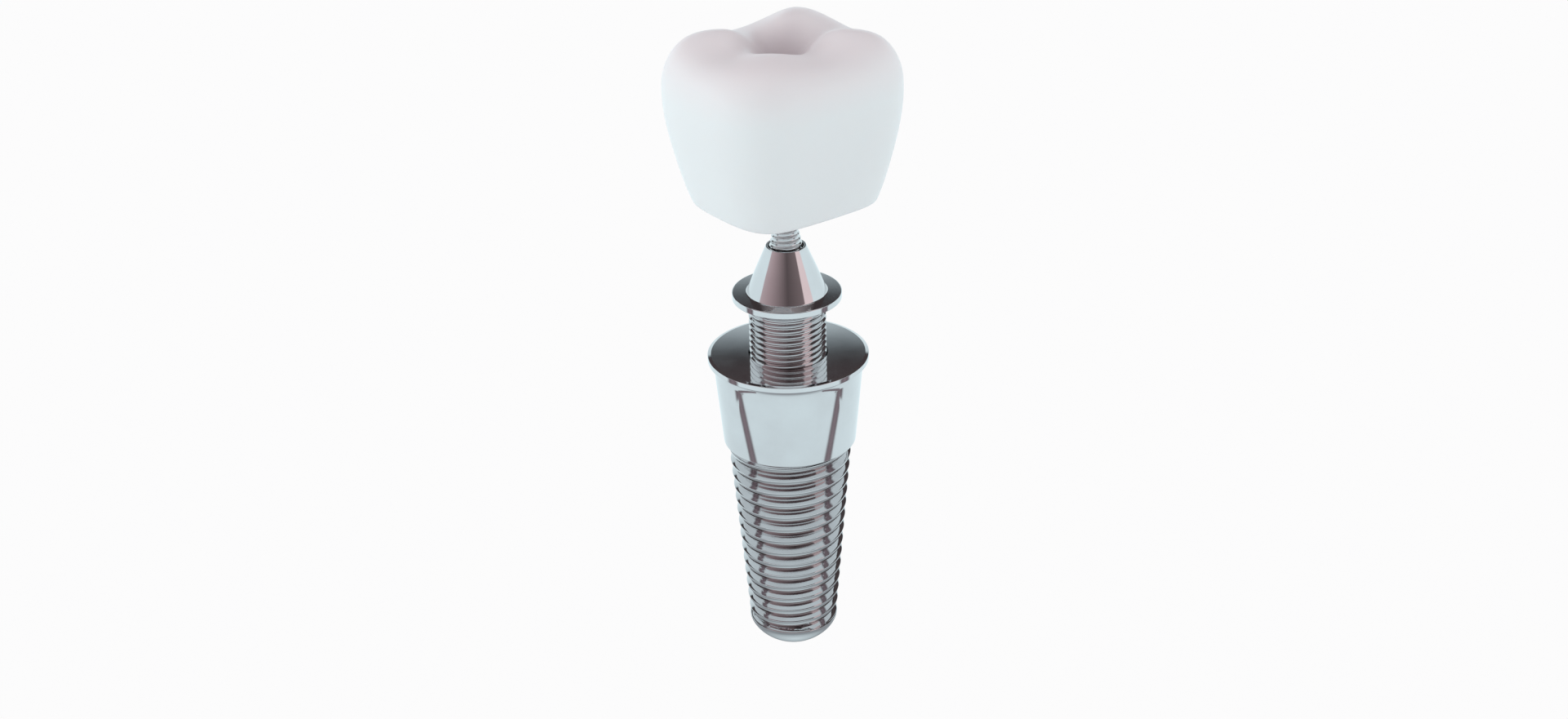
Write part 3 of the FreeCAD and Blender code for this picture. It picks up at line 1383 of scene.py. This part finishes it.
    def floor(self) -> None:
        """A floor that is near white to the camera, and in what the metal reflects is toned with
        painted shade in a ring around the part.
        """
        size = (self.floor_size, self.floor_size)
        floor = self.sheet("floor", (0.0, 0.0, self.floor_height), size, upright=False)
        paint = bpy.data.materials.new("pale matt board")
        tree = emptied(paint)
        ray = add_node(tree, "ShaderNodeLightPath")
        place = add_node(tree, "ShaderNodeTexCoord").outputs["Object"]
        share = add_node(
            tree,
            "ShaderNodeMapRange",
            Value=axis_distance(tree, place),
            From_Min=0.0,
            From_Max=self.shade_ring_reach * MM,
        )
        # Painted shade: what the metal reflects of the floor is greyer in a ring around the part.
        shaded_floor_tone = colour_ramp(
            tree,
            share,
            (
                (0.0, "d6e6eb"),
                (0.12, "b6c4c9"),
                (0.20, "939ba0"),
                (0.38, "9aa2a7"),
                (0.50, "dbecf1"),
                (1.0, self.pale),
            ),
        )
        board = add_node(tree, "ShaderNodeEmission", Color=shaded_floor_tone, Strength=self.glow)
        matt = add_node(tree, "ShaderNodeBsdfDiffuse", Color=linear("f4f6f7"))
        white = add_node(tree, "ShaderNodeEmission", Color=(1, 1, 1, 1), Strength=1.0)
        pale = add_node(tree, "ShaderNodeMixShader", _0=self.floor_shadow, _1=white, _2=matt)
        dull = add_node(
            tree, "ShaderNodeMixShader", _0=ray.outputs["Is Glossy Ray"], _1=matt, _2=board
        )
        seen = add_node(
            tree, "ShaderNodeMixShader", _0=ray.outputs["Is Camera Ray"], _1=dull, _2=pale
        )
        add_node(tree, "ShaderNodeOutputMaterial", Surface=seen)
        floor.data.materials.append(paint)

    def cards(self) -> None:
        """Upright cards beside and behind the part, seen only in its reflections."""
        streak = (
            (0.0, self.pale), (0.22, "756d73"), (0.5, "887d84"), (0.78, "756d73"), (1.0, self.pale)
        )
        for side in (-1, 1):
            reach = side * self.side_reach
            self.card(f"side_card_{side}", (reach, -3.4, -1.75), (8.0, 15.5), "X", streak)
            self.card(
                f"low_card_{side}", (reach, -8.2, -15.2), (4.0, 16.0), "X", streak, lean=-42.0
            )
        self.card(
            "back_card",
            (0.0, 92.0, 50.0),
            (240.0, 40.0),
            "Y",
            (
                (0.0, self.pale),
                (0.39, "cddde2"),
                (0.43, "a0aeb3"),
                (0.455, "727c81"),
                (0.48, "272526"),
                (0.52, "443d3f"),
                (1.0, "463f41"),
            ),
            sideways=False,
        )

    def card(
        self,
        name: str,
        middle: tuple[float, float, float],
        size: tuple[float, float],
        axis: str,
        stops: Stops,
        sideways: bool = True,
        lean: float = 0.0,
    ) -> None:
        """An upright card that only reflections show.

        Args:
            name: the card's name.
            middle: its middle.
            size: width and height.
            axis: X for colours that change across it, Y for colours that change up it.
            stops: place and colour of each stop.
            sideways: faces along the X axis.
            lean: degrees that it leans over in its own plane.
        """
        card = self.sheet(name, middle, size, True, sideways, lean)
        card.visible_camera = False
        card.visible_diffuse = False
        card.visible_shadow = False
        paper = bpy.data.materials.new(name)
        tree = emptied(paper)
        place = add_node(tree, "ShaderNodeTexCoord").outputs["UV"]
        share = add_node(tree, "ShaderNodeSeparateXYZ", Vector=place).outputs[axis]
        glow = add_node(
            tree, "ShaderNodeEmission", Color=colour_ramp(tree, share, stops), Strength=self.glow
        )
        add_node(tree, "ShaderNodeOutputMaterial", Surface=glow)
        card.data.materials.append(paper)

    def sheet(
        self,
        name: str,
        middle: tuple[float, float, float],
        size: tuple[float, float],
        upright: bool,
        sideways: bool = False,
        lean: float = 0.0,
    ) -> Piece:
        """A flat sheet whose place is in its mesh.

        Args:
            name: the sheet's name.
            middle: its middle.
            size: width and height.
            upright: stands on edge.
            sideways: faces along the X axis.
            lean: degrees that it is turned in its own plane.

        Returns:
            The sheet.
        """
        bpy.ops.object.select_all(action="DESELECT")
        bpy.ops.mesh.primitive_plane_add(size=1.0)
        sheet = bpy.context.object
        sheet.name = name
        sheet.scale = (size[0] * MM, size[1] * MM, 1)
        sheet.rotation_euler = (0, 0, math.radians(lean))
        bpy.ops.object.transform_apply(location=False, rotation=True, scale=True)
        sheet.rotation_euler = (
            math.radians(90) if upright else 0, 0, math.radians(90) if sideways else 0
        )
        sheet.location = Vector(middle) * MM
        bpy.ops.object.transform_apply(location=True, rotation=True, scale=True)
        return sheet


def main() -> None:
    """Build the studio and every piece, and log each piece's face count."""
    logging.basicConfig(level=logging.INFO, format="%(name)s: %(message)s")
    Studio().build()
    titanium = PolishedTitanium("polished titanium")
    ceramic = GlazedCeramic("glazed dental ceramic")
    FixtureLook().build(titanium)
    AbutmentLook().build(titanium)
    ScrewLook().build(titanium)
    CrownLook().build(ceramic)


if __name__ == "__main__":
    main()
